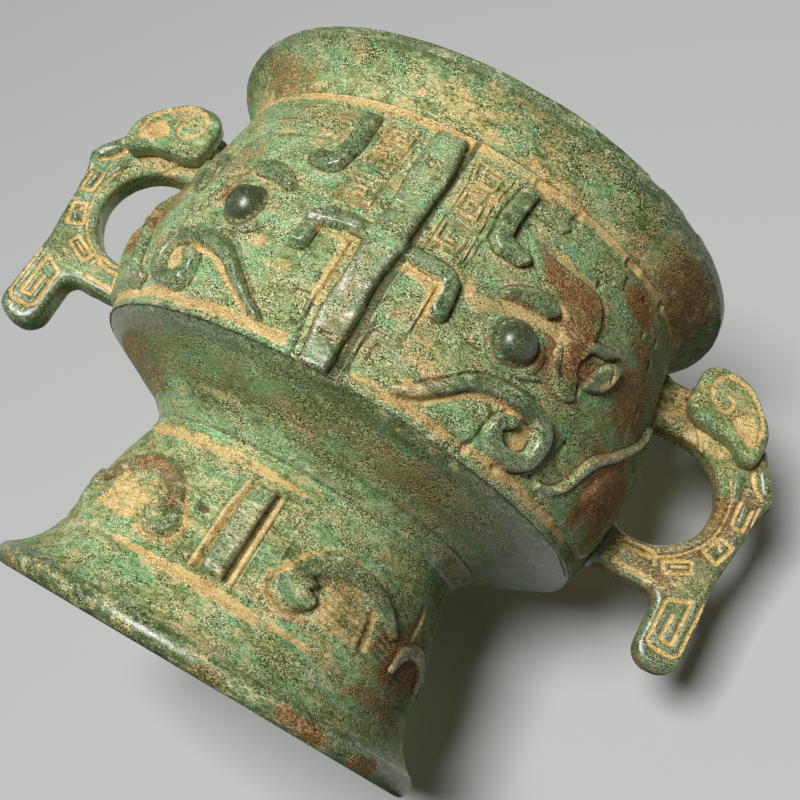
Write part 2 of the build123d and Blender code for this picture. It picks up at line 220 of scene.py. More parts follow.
def patina(name, speckle, ground, fresh, dry, proud, soil, brown, bare):
    """Buried bronze: speckled green with fresh and dry patches, smooth dark green on what stands proud,
    earth in the hollows, brown stains, bare worn spots, and grime with painted shade. Each colour is a list of
    stops from dark to light, and speckle is the share of the finest spots in it."""
    material = bpy.data.materials.new(name)
    material.use_nodes = True
    tree = material.node_tree
    place_on = wire(tree, "TexCoord", {}).outputs["Object"]
    drawn_out = wire(tree, "Mapping", {"Vector": place_on, "Scale": (1, 1, 2.2)}).outputs[0]

    def mottle(size, detail, roughness=0.6, swirl=0.0):
        texture = wire(tree, "TexNoise", {"Vector": drawn_out, "Scale": 1 / (size * MM), "Detail": detail,
                                          "Roughness": roughness, "Distortion": swirl})
        return texture.outputs[0]

    def times(one, two):
        return wire(tree, "Math", {0: one, 1: two}, operation="MULTIPLY").outputs[0]

    def sum_of(*shares):
        total = 0.0
        for value, weight in shares:
            total = wire(tree, "Math", {0: value, 1: weight, 2: total}, operation="MULTIPLY_ADD").outputs[0]
        return total

    def span(value, low, high):
        return wire(tree, "MapRange", {0: value, 1: low, 2: high}, interpolation_type="SMOOTHSTEP").outputs[0]

    def tint(value, stops):
        ramp = wire(tree, "ValToRGB", {0: value})
        ramp.color_ramp.elements.remove(ramp.color_ramp.elements[1])
        for at, colour in stops:
            stop = ramp.color_ramp.elements.new(at)
            stop.color = (*colour, 1)
        ramp.color_ramp.elements.remove(ramp.color_ramp.elements[0])
        return ramp.outputs[0]

    def over(share, below, above):
        return wire(tree, "Mix", {0: share, 6: below, 7: above}, data_type="RGBA").outputs[2]

    def mark(name, low, high, ragged):
        value = wire(tree, "Attribute", {}, attribute_name=name).outputs["Fac"]
        return span(sum_of((value, 1.0), (patch, ragged)), low + ragged / 2, high + ragged / 2)

    drift, blotch, grain, speck = mottle(18, 3), mottle(4, 4), mottle(1.1, 4, 0.7, 0.6), mottle(0.38, 1)
    others, coarse = 1 - speckle, sum_of((span(mottle(6, 3), 0.4, 0.62), 1.1), (1.0, 0.45))
    spots = sum_of((times(sum_of((speck, 1.0), (1.0, -0.5)), coarse), speckle), (1.0, 0.5 * speckle))
    tone = sum_of((drift, 0.24 * others), (blotch, 0.30 * others), (grain, 0.46 * others), (spots, 1.0))
    patch = sum_of((blotch, 0.55), (grain, 0.45))
    green = over(span(sum_of((mottle(9, 3), 0.75), (patch, 0.25)), 0.46, 0.58),
                 tint(tone, ground), tint(tone, fresh))
    green = over(span(sum_of((mottle(13, 4), 0.75), (patch, 0.25)), 0.53, 0.66), green, tint(tone, dry))
    rust, polish = mark("rust", 0.15, 0.9, 3), mark("polish", 0.2, 0.9, 1.5)
    worn, earth, grime_and_shade = mark("worn", 0.15, 0.9, 3), mark("earth", 0.15, 0.8, 3), mark("grime_and_shade", 0.25, 0.9, 1.5)
    colour = over(rust, green, tint(tone, brown))
    colour = over(times(polish, 0.85), colour, tint(tone, proud))
    colour = over(worn, colour, tint(tone, bare))
    colour = over(earth, colour, tint(tone, soil))
    # Grime and painted shade: the darkest proud green laid over creases and shaded places.
    colour = over(times(grime_and_shade, 0.75), colour, (*proud[0][1], 1))
    skin = tree.nodes["Principled BSDF"]
    tree.links.new(colour, skin.inputs["Base Color"])
    tree.links.new(sum_of((polish, 0.7), (1.0, 0.2)), skin.inputs["Specular IOR Level"])
    rough = wire(tree, "Math", {0: polish, 1: -0.38, 2: 0.62}, operation="MULTIPLY_ADD").outputs[0]
    tree.links.new(sum_of((rough, 1.0), (earth, 0.3), (blotch, 0.15)), skin.inputs["Roughness"])
    height = sum_of((grain, 0.6), (speck, 0.7), (blotch, 0.5))
    strength = wire(tree, "Math", {0: polish, 1: -0.85, 2: 1.0}, operation="MULTIPLY_ADD").outputs[0]
    bump = wire(tree, "Bump", {"Height": height, "Strength": strength, "Distance": 0.42 * MM})
    tree.links.new(bump.outputs[0], skin.inputs["Normal"])
    return material


def place(name, mesh, material, slot, *nodes):
    """Put a finished mesh on the part, in the place of its solids."""
    mesh.materials.clear()
    mesh.materials.append(material)
    mesh.shade_smooth()
    mesh.set_sharp_from_angle(angle=math.radians(62))
    piece = bpy.data.objects.new(name, mesh)
    bpy.context.scene.collection.objects.link(piece)
    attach(piece, "root")
    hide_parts(*nodes)


vessel_colours = dict(
    ground=[(0.41, (0.04, 0.046, 0.011)), (0.46, (0.14, 0.175, 0.058)), (0.50, (0.31, 0.38, 0.15)),
            (0.54, (0.54, 0.60, 0.285)), (0.59, (0.88, 0.86, 0.50))],
    fresh=[(0.41, (0.018, 0.045, 0.014)), (0.50, (0.22, 0.41, 0.17)), (0.59, (0.66, 0.84, 0.48))],
    dry=[(0.41, (0.075, 0.05, 0.014)), (0.50, (0.47, 0.37, 0.15)), (0.59, (0.97, 0.82, 0.46))],
    proud=[(0.41, (0.010, 0.021, 0.007)), (0.50, (0.075, 0.13, 0.05)), (0.59, (0.38, 0.48, 0.23))],
    soil=[(0.41, (0.32, 0.19, 0.055)), (0.49, (0.69, 0.47, 0.17)), (0.58, (0.95, 0.78, 0.42))],
    brown=[(0.41, (0.05, 0.026, 0.007)), (0.50, (0.27, 0.14, 0.045)), (0.59, (0.82, 0.46, 0.20))],
    bare=[(0.41, (0.04, 0.035, 0.018)), (0.50, (0.30, 0.26, 0.165)), (0.59, (0.90, 0.82, 0.64))])
vessel_patina = patina("vessel_patina", 0.47, **vessel_colours)

register_outer, register_inner, register_drop = 34.65, 31.65, 2.0
floor_height, inner_corner = 50.4, 59.9
band = [(float(belly_at(z)) - set_back, float(z)) for z in np.linspace(shoulder, throat, 16)]
inside = [(float(belly_at(z)) - wall, float(z)) for z in np.linspace(throat, inner_corner, 44)]
bowl_outline = walk([(0, seat), (register_inner, seat), (register_inner, seat - register_drop),
                     (register_outer, seat - register_drop), (register_outer, seat), (neck_radius, seat)], 2.0)
bowl_outline += walk([(neck_radius, seat), (59.6, shoulder - 0.22), (59.95, shoulder - 0.03)], 0.75)[1:]
bowl_outline += band + [(throat_radius - 1.2, flare - 0.15), (throat_radius - 0.3, flare)]
bowl_outline += bow((throat_radius, flare + 0.2), (60.5, 121.65), (mouth_radius, 125.5), 22)
bowl_outline += [(65.0, 126.4), (65.0, 127.3), (64.75, 127.95), (64.3, 128.35), (63.6, lip),
                 (62.95, 128.35), (62.5, 127.95), (62.2, 127.3), (62.2, 126.4)]
bowl_outline += bow((mouth_radius - lip_wall, 125.5), (57.35, 121.65), (throat_radius - wall, flare), 18)
bowl_outline += inside + walk([(57.3, inner_corner), (neck_radius, floor_height), (0, floor_height)], 1.6)[1:]
bowl_mesh = turn_shell("bowl_body", bowl_outline, 420)
points = points_of(bowl_mesh)
height = points[:, 2]  # a view, which follows the points when they move
reach = reach_of(points)
lumps = 0.16 * cloud(points, 13, 1) + 0.06 * cloud(points, 4, 2) + 0.05 * cloud(points, 1.6, 3)
edge_chips = -0.5 * ease(cloud(points, 5, 4), 0.35, 0.7) * ease(height, lip - 1.3, lip - 0.2)
steady = ease(height, seat + 0.6, seat + 2.5)
points += normals_of(bowl_mesh) * ((lumps - 0.15 + edge_chips) * steady)[:, None]
set_points(bowl_mesh, points)
inner_side = (reach < belly_at(height) - 2) & (height > 50)
azimuth = azimuth_of(points)
under_side, right_side_shade = ease(-height, -58, -57), ease(points[:, 0], 15, 50)
# Stains on the rim and the shoulder; the large one on the rim's right side is a brown stain and also painted shade.
rim_stains_and_shade = [(-50, 121, 16, 6, 0.45), (62, 120, 25, 9, 0.6), (-65, 54, 25, 6, 0.5), (-25, 52, 15, 4, 0.2),
              (42, 53, 24, 5, 0.4)]
rim_earth = [(-2, 121, 16, 5, 0.4), (20, 119, 8, 3, 0.35), (-70, 118, 20, 3, 0.4), (45, 118, 10, 2.5, 0.3)]
# The inside is darker. The underside is a darker, smoother green, its own colour and also painted shade under the
# bowl. The right side is painted darker green as painted shade away from the lamp.
weather(bowl_mesh, 1, rust=0.3 * ease(cloud(points, 22, 5), 0.0, 0.6) + stain(azimuth, height, rim_stains_and_shade, 7),
        earth=0.25 * ease(cloud(points, 14, 6), 0.3, 0.8) + stain(azimuth, height, rim_earth, 8),
        grime_and_shade=0.4 * inner_side + 0.08 * under_side, polish=0.35 * under_side + 0.35 * right_side_shade)
place("bowl_body", bowl_mesh, vessel_patina, "vessel_bronze", "bowl")

# Belly skin: the band of the bowl that carries the mask, a raised animal face split by an upright ridge.
# Horns, nose, brow, eye, curled jaw and haunch stand on a ground of fine square spirals, the same on the back.
# Places are given by azimuth from the ridge in degrees and by height, for one quarter that is mirrored.
belly_degree = math.radians(63.0)
eye_x, eye_z, eye_radius, eye_lift = 28.4, 82.2, 4.5, 3.7
mask_patina = patina("mask_patina", 0.6, **vessel_colours)


def rounded(corners, closed=False, count=7):
    """Smooth path through a few points."""
    ends = [corners[-1]] + corners + corners[:2] if closed else [corners[0]] + corners + corners[-1:]
    knots = np.array(ends, float)
    found = []
    for a, b, c, d in zip(knots, knots[1:], knots[2:], knots[3:]):
        for t in np.arange(count) / count:
            found.append((2 * b + (c - a) * t + (2 * a - 5 * b + 4 * c - d) * t**2
                          + (3 * b - a - 3 * c + d) * t**3) / 2)
    return [tuple(p) for p in found] + ([] if closed else [corners[-1]])


def ribbon(path, half, lift, edge):
    """Form along an open path, with its half width, height and the width of its rounded edge."""
    return path, half, lift, edge, False


def panel(path, half, lift, edge):
    """Form that fills a closed path and swells past it by half."""
    return path + path[:1], half, lift, edge, True


def box_path(left, low, right, high):
    """Corners of an upright rectangle."""
    return [(left, low), (right, low), (right, high), (left, high)]


def square_coil(x, z, wide, high, lean=0.0):
    """Path of a square spiral about a centre."""
    turns = [(-1, -1), (1, -1), (1, 1), (-1, 1), (-1, -0.46), (0.5, -0.46), (0.5, 0.5), (-0.48, 0.5), (-0.48, 0.02),
             (0.02, 0.02)]
    sine, cosine = math.sin(math.radians(lean)), math.cos(math.radians(lean))
    return [(x + u * wide * cosine - v * high * sine, z + u * wide * sine + v * high * cosine) for u, v in turns]


def carve(across, height, forms, degree=1.0):
    """Height of the ornament at points, from all its forms: the tallest raised one, less the deepest cut."""
    raised, cut = np.zeros(len(across)), np.zeros(len(across))
    for path, half, lift, edge, closed in forms:
        path = np.array(path, float) * (degree, 1)
        halves = np.interp(np.linspace(0, 1, len(path)), np.linspace(0, 1, np.size(half)), np.atleast_1d(half))
        low, high = path.min(0) - halves.max(), path.max(0) + halves.max()
        near = np.flatnonzero((across > low[0]) & (across < high[0]) & (height > low[1]) & (height < high[1]))
        spot = np.stack((across[near], height[near]), 1)
        gap, inside = np.full(len(near), 1e9), np.zeros(len(near), bool)
        for a, b, wide_a, wide_b in zip(path, path[1:], halves, halves[1:]):
            run = b - a
            share = np.clip((spot - a) @ run / max(run @ run, 1e-9), 0, 1)
            away = np.hypot(*(spot - a - share[:, None] * run).T)
            gap = np.minimum(gap, away - wide_a - share * (wide_b - wide_a))
            if closed and run[1]:
                crossed = (a[1] > spot[:, 1]) != (b[1] > spot[:, 1])
                inside ^= crossed & (spot[:, 0] < a[0] + (spot[:, 1] - a[1]) * run[0] / run[1])
        gap = np.where(inside, -gap - 2 * halves[0], gap)
        round_over = np.sqrt(1 - (1 - np.clip(-gap / edge, 0, 1)) ** 2)
        target = raised if lift > 0 else cut
        target[near] = np.maximum(target[near], abs(lift) * round_over)
    return raised - cut


def ridge_shade(azimuth):
    """Painted shadow: a dark line along the shaded side of the upright ridge."""
    return 0.8 * ease(-np.abs(azimuth - 4.0), -0.9, -0.5)


brow_line = rounded([(15.8, 88), (18, 84.2), (22, 86), (26, 87.9), (31, 88.9), (36.4, 88.4), (38.4, 83)])
ground_coils = [square_coil(9.9, z, 3.2, 3.2) for z in (108.4, 100.5, 92.6)]
mask_forms = [
    panel(box_path(-2.2, 56.0, 2.2, 113.0), 1.2, 2.35, 0.95),
    ribbon([(4.2, 57.0), (4.2, 113.5)], 0.75, -0.9, 0.6),
    panel([(18, 111.6), (30, 112.0), (46, 111.2), (47, 109.4), (42.4, 108.0), (26.5, 108.4), (18, 108.4)],
          0.6, 0.55, 0.6),
    panel([(15.9, 111.4), (18.6, 111.4), (18.4, 99.4), (22.6, 99.0), (23.4, 97.6), (22.4, 96.4), (17.6, 95.9),
           (15.9, 97.4)], 0.6, 2.3, 0.9),
    ribbon([(14.5, 112.0), (14.5, 96.4)], 0.35, 0.5, 0.35),
    ribbon(square_coil(22.6, 110.3, 2.2, 1.2), 0.24, 0.75, 0.24),
    panel([(27.0, 107.4), (30.6, 107.4), (28.6, 110.2)], 0.2, -0.7, 0.6),
    ribbon([(2.0, 85.4), (12.2, 85.3), (13.5, 84.2), (13.6, 78.4)], [1.7, 1.9, 1.9, 2.0], 2.3, 0.95),
    panel(box_path(5.9, 70.0, 10.9, 81.8), 0.6, 0.6, 0.5),
    ribbon([(5.6, 58.0), (5.6, 82.2), (11.1, 82.2), (11.1, 72.0)], 0.4, 0.9, 0.4),
    ribbon(box_path(5.7, 88.6, 14.0, 112.4) + [(5.7, 88.6)], 0.35, 0.45, 0.35),
    panel(rounded([(22.6, 102.6), (28, 102), (34, 102), (39.4, 102), (42.6, 97.4), (42, 91.6), (40.8, 86.4),
                   (43.8, 81.8), (40.8, 79.4), (36.2, 82.6), (35.4, 89), (33.8, 94.2), (29.4, 96.2), (25.8, 98.2)],
                  True, 4), 0.5, 0.95, 1.0),
    panel(rounded([(21.6, 88.7), (24.8, 92.2), (29.0, 94.0), (32.4, 92.8), (31.2, 90.8), (26.2, 90.0)], True),
          0.5, 2.2, 1.3),
    panel(rounded([(20.6, 80.6), (24, 77.3), (30, 76.6), (34.2, 80), (33.6, 84.6), (29, 86.6), (24, 85.2)], True),
          0.3, 0.75, 2.2),
    ribbon([(eye_x + 4.7 * math.cos(t), eye_z + 5.2 * math.sin(t)) for t in np.linspace(0, 6.3, 24)],
           0.5, -0.5, 0.5),
    ribbon(brow_line, 0.9, -0.75, 0.8),
    ribbon(rounded([(21, 80), (24, 77), (30, 76), (35, 78.6)]), 0.4, 0.95, 0.4),
    ribbon(rounded([(13.6, 61.4), (17, 63.3), (20.5, 66.4), (24.5, 70.1), (30, 72.2), (36, 72.9), (40.6, 72.2),
                    (43.0, 69), (42.5, 64.9), (39, 62.9), (34.9, 63.1), (32.7, 65.4), (33.3, 68), (35, 68.8)]),
           [0.9, 1.3, 1.5, 1.6, 1.7, 1.8, 1.9, 1.9, 1.9, 1.9, 1.9, 1.9, 1.7, 1.4], 2.5, 1.05),
    ribbon(rounded([(16, 64.8), (20.5, 69.4), (25, 73.4), (31, 75.4), (37, 75.8)]), 0.3, 0.75, 0.3),
    panel(rounded([(20, 62.2), (25.4, 66.2), (30.2, 68.4), (30.4, 64), (30, 60.8)], True), 0.3, 0.8, 1.0),
    panel(rounded([(48.6, 62.4), (53.6, 65.6), (55.6, 71), (58, 75.4), (63.4, 79.6), (71.4, 87.2), (76, 93),
                   (79.4, 93.4), (80.4, 76), (79.2, 62), (66, 61), (54, 61.2)], True, 4), 0.3, 1.5, 1.2),
    ribbon(rounded([(47.7, 62.9), (51, 63.8), (53.4, 66.5), (54.9, 71), (57.3, 75.6), (63.1, 79.8), (71.2, 87.3),
                    (76.2, 94)]), [0.8, 1.1, 1.2, 1.2, 1.2, 1.1, 0.9, 0.6], 2.15, 1.1),
    panel(rounded([(58.4, 67.6), (59.6, 73.8), (65, 78), (74, 80.4), (77.6, 74), (72, 66.8), (64, 65.4)], True),
          0.8, 2.5, 4.5),
    ribbon(rounded([(41.0, 88.6), (42.6, 92.4), (48.4, 94.6), (51, 96)]), [0.6, 1.3, 1.2, 0.6], 1.5, 1.2),
    panel(rounded([(44.8, 84.6), (46.8, 89.4), (51.2, 93.6), (52.8, 93), (50, 87.4)], True), 0.5, 1.7, 1.3),
    ribbon([(40.8, 103.8), (43.6, 101.4)], 0.7, -0.6, 0.7),
    panel(rounded([(45, 108.9), (46.2, 112.4), (52, 112.8), (60.5, 112.8), (58.6, 109.6), (54.8, 107), (49, 106.8)],
                  True), 0.4, -0.7, 0.6),
    ribbon([(-5, 115.2), (95, 115.2)], 1.0, -0.35, 0.8),
    ribbon([(3.6, 59.0), (95, 59.0)], 0.7, -0.5, 0.7),
]
mask_forms += [ribbon(coil, 0.38, 0.8, 0.38) for coil in ground_coils]
mask_earth = [
    ribbon([(0, 115.0), (20, 115.0), (45, 115.2), (95, 115.3)], [1.9, 1.8, 1.1, 0.8], 1.0, 0.8),
    panel(rounded([(37.6, 65.8), (40.0, 66.0), (40.4, 69.4), (38, 69.6)], True), 0.4, 1.0, 0.8),
    ribbon(rounded([(16.6, 61.6), (21, 64.4), (25.6, 68.0), (31, 70.2), (36, 70.6)]), 0.65, 1.0, 0.5),
    ribbon([(8, 59.8), (30, 60.0), (45, 60.2), (66, 59.8)], [1.3, 1.1, 1.1, 0.8], 1.0, 0.8),
    ribbon([(22.4, 104.4), (30, 104.0), (39, 103.4)], 0.8, 0.6, 0.7),
    ribbon([(5.7, 88.6), (5.7, 112)], 0.35, 0.7, 0.3),
    panel(box_path(6, 89, 13.6, 112), 0.4, 0.3, 0.4),
]
mask_earth += [ribbon(coil, 0.4, 0.75, 0.3) for coil in ground_coils]
one_sided_earth = [
    ribbon(brow_line, [0.8, 1.6, 1.6, 1.4, 1.3, 1.0, 0.6], 1.0, 0.8),
    ribbon([(5.4, 82.2), (11.4, 82.0), (11.9, 75)], [1.4, 1.6, 1.0], 1.0, 0.9),
    ribbon([(-11.4, 82.2), (-5.6, 82.2), (-5.6, 69)], [0.9, 1.3, 1.0], 0.9, 0.8),
    ribbon([(40.8, 103.8), (43.8, 101.2)], 0.9, 1.0, 0.5),
    ribbon([(48.6, 86.8), (53.0, 93.2)], 0.9, 1.0, 0.6),
    ribbon(rounded([(51, 64.6), (54.4, 67.4), (56.2, 72), (59, 76), (64.2, 80), (71.6, 87)]), 0.35, 0.8, 0.3),
]


def belly_skin(name, seed, back, stains, earthy, rubbed):
    """One half of the belly, front or back, carved with the mirrored mask."""
    rows = np.arange(shoulder + 1.0, throat, 0.37)
    outline = [(58.6, 57.62), (59.5, 57.62), (59.9, 57.75), (60.05, 58.1)]
    outline += [(float(belly_at(z)), float(z)) for z in rows]
    outline += [(throat_radius, throat + 0.1), (throat_radius, throat + 0.5), (throat_radius, throat + 0.9),
                (throat_radius, 115.75), (throat_radius - 0.9, 115.9)]
    outline += [(float(belly_at(z)) - set_back + 0.15, float(z)) for z in np.linspace(114.5, 59.5, 10)]
    mesh = turn_shell(name, outline, 540, 180)
    points = points_of(mesh)
    azimuth = azimuth_of(points)
    outer = ease(reach_of(points) - belly_at(points[:, 2]), -0.6, -0.2)
    quiet = ease(np.abs(azimuth), 90, 82)
    across = np.abs(azimuth + 0.8 * quiet * cloud(points, 9, seed)) * belly_degree
    height = points[:, 2] + 0.45 * cloud(points, 8, seed + 1)
    age = 0.9 + 0.22 * cloud(points, 12, seed + 2)
    lift = carve(across, height, mask_forms, belly_degree)
    degrees = across / belly_degree
    dark = 0.45 * ease(lift, 1.0, 1.6) * ease(degrees, 9, 12) * ease(-degrees, -47, -45)
    lift *= np.clip(age, 0.65, 1.0)
    from_eye = np.hypot(across - eye_x * belly_degree, height - eye_z)
    lift = np.maximum(lift, eye_lift * np.sqrt(np.maximum(1 - (from_eye / eye_radius) ** 2, 0)))
    eye = ease(-from_eye, -4.8, -4.2)
    lift += (0.14 * cloud(points, 7, seed + 3) + 0.09 * cloud(points, 2.4, seed + 4)
             + 0.05 * cloud(points, 1.1, seed + 5))
    lift -= 0.6 * ease(cloud(points, 3.2, seed + 6), 0.55, 0.8)
    points[:, :2] *= 1 + (lift * outer / reach_of(points))[:, None]
    if back:
        points[:, :2] *= -1
    set_points(mesh, points)
    packed = carve(across, height, mask_earth, belly_degree)
    packed = np.maximum(packed, carve(azimuth * belly_degree, height, one_sided_earth, belly_degree))
    packed = (packed * (0.75 + 0.4 * cloud(points, 7, seed + 7)) + stain(azimuth, height, earthy, seed + 9)) * outer
    # Beside the ridge, ridge_shade adds a dark line of painted shadow.
    weather(mesh, seed, rust=stain(azimuth, height, stains, seed + 8), earth=np.clip(packed, 0, 1) * (1 - eye),
            polish=dark + eye, grime_and_shade=0.8 * eye + ridge_shade(azimuth) * outer,
            worn=stain(azimuth, height, rubbed, seed + 10))
    place(name, mesh, mask_patina, "vessel_bronze", "bowl")


front_stains = [(52, 109.6, 8, 4, 1), (34, 99, 10, 5, 0.9), (38.5, 88, 8, 11, 1), (65, 72, 12, 11, 1),
                (20, 66, 3, 2.5, 0.8), (62, 94, 12, 14, 0.7), (28, 84, 14, 12, 0.4), (-60, 84, 8, 16, 0.8),
                (-38, 94, 8, 8, 0.5), (-35, 84, 4, 3, 0.8), (-30, 108, 14, 5, 0.4), (0, 70, 4, 12, 0.45)]
front_earth = [(15, 69.5, 5, 4.5, 0.5), (18, 63, 5, 2.5, 0.6), (37, 92, 5, 4, 0.3), (-21, 75.5, 2.4, 1.8, 0.6),
               (-15, 72, 3, 1.8, 0.5), (-64, 74, 3, 10, 0.5)]
front_rubbed = [(0, 70, 4.5, 11, 0.4), (13, 69, 7, 5, 0.35), (-13, 84, 3, 2, 0.3)]
front_marks = (front_stains, front_earth, front_rubbed)
belly_skin("belly_front", 11, False, *front_marks)
belly_skin("belly_back", 31, True, *[[(-x, *sizes) for x, *sizes in spots] for spots in front_marks])

# Ring foot: a hollow casting that flares to a rounded rim, with a band of curled dragons between two lines.
# The rim's outer edge is rubbed smooth and shiny; the bowl sits on the collar and is brazed to it.
foot_degree = math.radians(42.4)
rim_radius, rim_round, collar_radius = 48.9, 2.6, 34.8
foot_arch = rounded([(54, 26.4), (47, 29.6), (38, 31.6), (29, 31.4), (22.4, 29.2), (19.6, 26)])
head_line = [(26.4, 18.6), (20, 17.6), (14.2, 19.4), (12.6, 22.6), (14.6, 25), (17, 27), (19.4, 30), (24.6, 33.4)]
cut_bars = ([(45.8, 20.8), (44.6, 27.6)], [(64.0, 29.0), (66, 34)])
foot_forms = [
    panel(box_path(-2.6, 18.2, 2.2, 37.0), 0.6, 1.4, 0.5),
    ribbon([(4.0, 17.6), (4.0, 37.4)], 0.6, -0.6, 0.5),
    ribbon([(5.8, 17.2), (5.8, 37.6)], 0.55, 0.55, 0.5),
    ribbon(box_path(7.6, 17.6, 13.6, 37.8) + [(7.6, 17.6)], 0.3, 0.35, 0.3),
    ribbon(square_coil(11.4, 34.6, 2.6, 1.9), 0.34, 0.45, 0.34),
    ribbon(foot_arch, [1.2, 2.0, 2.3, 2.3, 2.0, 1.4], 1.5, 0.7),
    panel(rounded([(17.4, 26.4), (21.2, 26.6), (24.6, 26), (23.4, 24.4), (26.4, 23), (25.2, 20.8), (20.8, 19.4),
                   (16.6, 20.4), (15.2, 22.8)], True), 0.4, 1.6, 0.7),
    ribbon(rounded(head_line + [(32, 34.8)]), 0.3, 0.6, 0.3),
    ribbon(rounded([(27.4, 24), (26.6, 26), (28.6, 27.4), (36, 28.2), (43.4, 27)]), 0.4, -0.4, 0.4),
    ribbon(rounded([(59, 20.6), (62, 24.4), (69.5, 26.2), (77, 24.4), (80, 20.6)]),
           [1.0, 1.6, 1.8, 1.6, 1.0], 1.2, 0.9),
    ribbon([(-5, 40.4), (95, 40.4)], 0.7, -0.3, 0.6),
    ribbon([(-5, 14.9), (95, 14.9)], 0.6, -0.3, 0.55),
]
foot_forms += [ribbon(bar, 1.2, -0.6, 0.7) for bar in cut_bars]
foot_forms += [ribbon([(28.6, z), (43.6, z - 1.4)], 0.36, 0.5, 0.36) for z in (27.0, 25.6, 24.2, 22.8, 21.4, 20.0)]
foot_forms += [ribbon([(48.6, z), (57.0, z - 1.0)], 0.36, 0.5, 0.36) for z in (25.0, 23.6, 22.2, 20.8)]
foot_earth_forms = [
    ribbon([(5.8, 17.6), (5.8, 36.8)], 0.7, 1.0, 0.6),
    ribbon(rounded(head_line), 0.6, 0.6, 0.5),
    panel(rounded([(28.6, 20.4), (29, 25.6), (36, 27.4), (43, 26), (43.6, 20.4), (36, 19)], True), 0.3, 0.6, 1.5),
]
foot_earth_forms += [ribbon(bar, 1.3, 1.0, 0.6) for bar in cut_bars]
foot_line_earth = [
    ribbon([(-75, 40.6), (-40, 40.6), (-10, 40.4), (10, 40.2)], [0.8, 1.6, 1.4, 0.6], 1.0, 0.8),
    ribbon([(10, 40.4), (80, 40.4)], 0.6, 0.35, 0.5),
    ribbon([(-30, 15.0), (-10, 14.8), (8, 14.6), (15, 14.2)], [0.6, 1.1, 1.4, 1.2], 1.0, 0.7),
    ribbon([(20, 15.0), (30, 14.6)], 0.8, 0.8, 0.6),
    ribbon([(150, 40.4), (100, 40.4)], 1.0, 0.8, 0.8),
    ribbon([(165, 14.8), (120, 14.8)], 1.0, 0.8, 0.8),
]
foot_outline = [(47.5, 0), (rim_radius, 0)]
foot_outline += [(rim_radius + rim_round * math.cos(t), rim_round + rim_round * math.sin(t))
                 for t in np.radians(range(-75, 61, 9))]
foot_outline += bow((50.0, 5.0), (46.0, 9.0), (43.5, 15.0), 26)[1:]
foot_outline += bow((43.4, 15.3), (41.7, 27.8), (38.8, 39.4), 60)
foot_outline += walk([(38.75, 39.8), (neck_radius, 43.5), (neck_radius, seat), (collar_radius, seat),
                      (collar_radius, 43.5)], 0.6)
foot_outline += walk([(collar_radius, 43.5), (35.6, 39.4), (40.2, 15.0), (47.5, 4.0), (47.5, 0)], 2.4)[1:-1]
foot_mesh = turn_shell("foot_ring", foot_outline, 640)
points = points_of(foot_mesh)
height = points[:, 2]
azimuth = azimuth_of(points)
folded = np.where(np.abs(azimuth) > 90, 180 - np.abs(azimuth), np.abs(azimuth))
middle_of_wall = np.interp(height, [0, 4, 15, 39.4, seat], [49, 49, 41.6, 37, 36.2])
outer_side = ease(reach_of(points) - middle_of_wall, 0, 0.6)
ragged = folded + 0.7 * cloud(points, 8, 51)
lift = carve(ragged * foot_degree, height + 0.35 * cloud(points, 7, 52), foot_forms, foot_degree)
lift *= np.clip(0.85 + 0.3 * cloud(points, 10, 53), 0.45, 1) * outer_side
lift += 0.16 * cloud(points, 9, 54) + 0.09 * cloud(points, 2.6, 55) + 0.05 * cloud(points, 1.2, 56) - 0.06
chip = ease(-np.hypot((azimuth + 12) * foot_degree / 1.7, height - 28), -1.0, -0.6) * outer_side
lift -= 1.2 * chip
lift *= ease(height, 0.05, 1.2) * ease(height, seat - 0.1, seat - 1.5)
points += normals_of(foot_mesh) * lift[:, None]
set_points(foot_mesh, points)
foot_stains = [(24, 23.5, 3, 2.5, 0.8), (22, 18.0, 3, 1.6, 0.9), (36, 25, 8, 3, 0.5), (66, 24, 16, 8, 0.9),
               (58, 13, 16, 3, 0.7), (-80, 28, 14, 8, 0.8), (150, 20, 20, 8, 0.8), (-30, 0.6, 70, 1.2, 0.8)]
rim_browns = [(12, 1.6, 5, 2, 0.75), (33, 2.2, 10, 2.4, 0.85), (54, 2, 7, 2.6, 0.8), (-48, 1.2, 9, 1.2, 0.8),
              (-100, 2, 12, 2, 0.8)]
foot_rubbed = [(-60, 14, 20, 3, 0.4), (34, 11, 8, 3, 0.35), (58, 13, 10, 4, 0.3)]
packed = carve(folded * foot_degree, height, foot_earth_forms, foot_degree) * (np.abs(azimuth) < 120)
packed = np.maximum(packed, carve(azimuth * foot_degree, height, foot_line_earth, foot_degree))
dust = 0.2 * ease(-np.abs(azimuth + 10), -70, -40) * ease(-height, -41, -38)
packed = packed * (0.75 + 0.4 * cloud(points, 7, 58)) + dust
browned = carve(folded * foot_degree, height, [ribbon(foot_arch, 2.1, 1.0, 0.6)], foot_degree)
browned *= np.where(azimuth < 0, 0.9, 0.35) * outer_side
beside_ridge = ease(-np.abs(height - 27.6), -10.5, -9.5)
rim_brown = stain(azimuth, height, rim_browns, 60)
# The inside of the foot is darker, the chip's pit is painted dark as painted shade in it, and a painted shadow runs
# beside the ridge.
weather(foot_mesh, 5, rust=np.maximum.reduce((browned, rim_brown, stain(azimuth, height, foot_stains, 57))),
        earth=np.clip(packed - browned, 0, 1) * outer_side,
        grime_and_shade=0.5 * (1 - outer_side) + chip + ridge_shade(azimuth) * beside_ridge * outer_side,
        polish=ease(-height, -5.3, -4.6) * outer_side - 1.6 * rim_brown,
        worn=stain(azimuth, height, foot_rubbed, 59))
place("foot_ring", foot_mesh, vessel_patina, "vessel_bronze", "ring_foot")

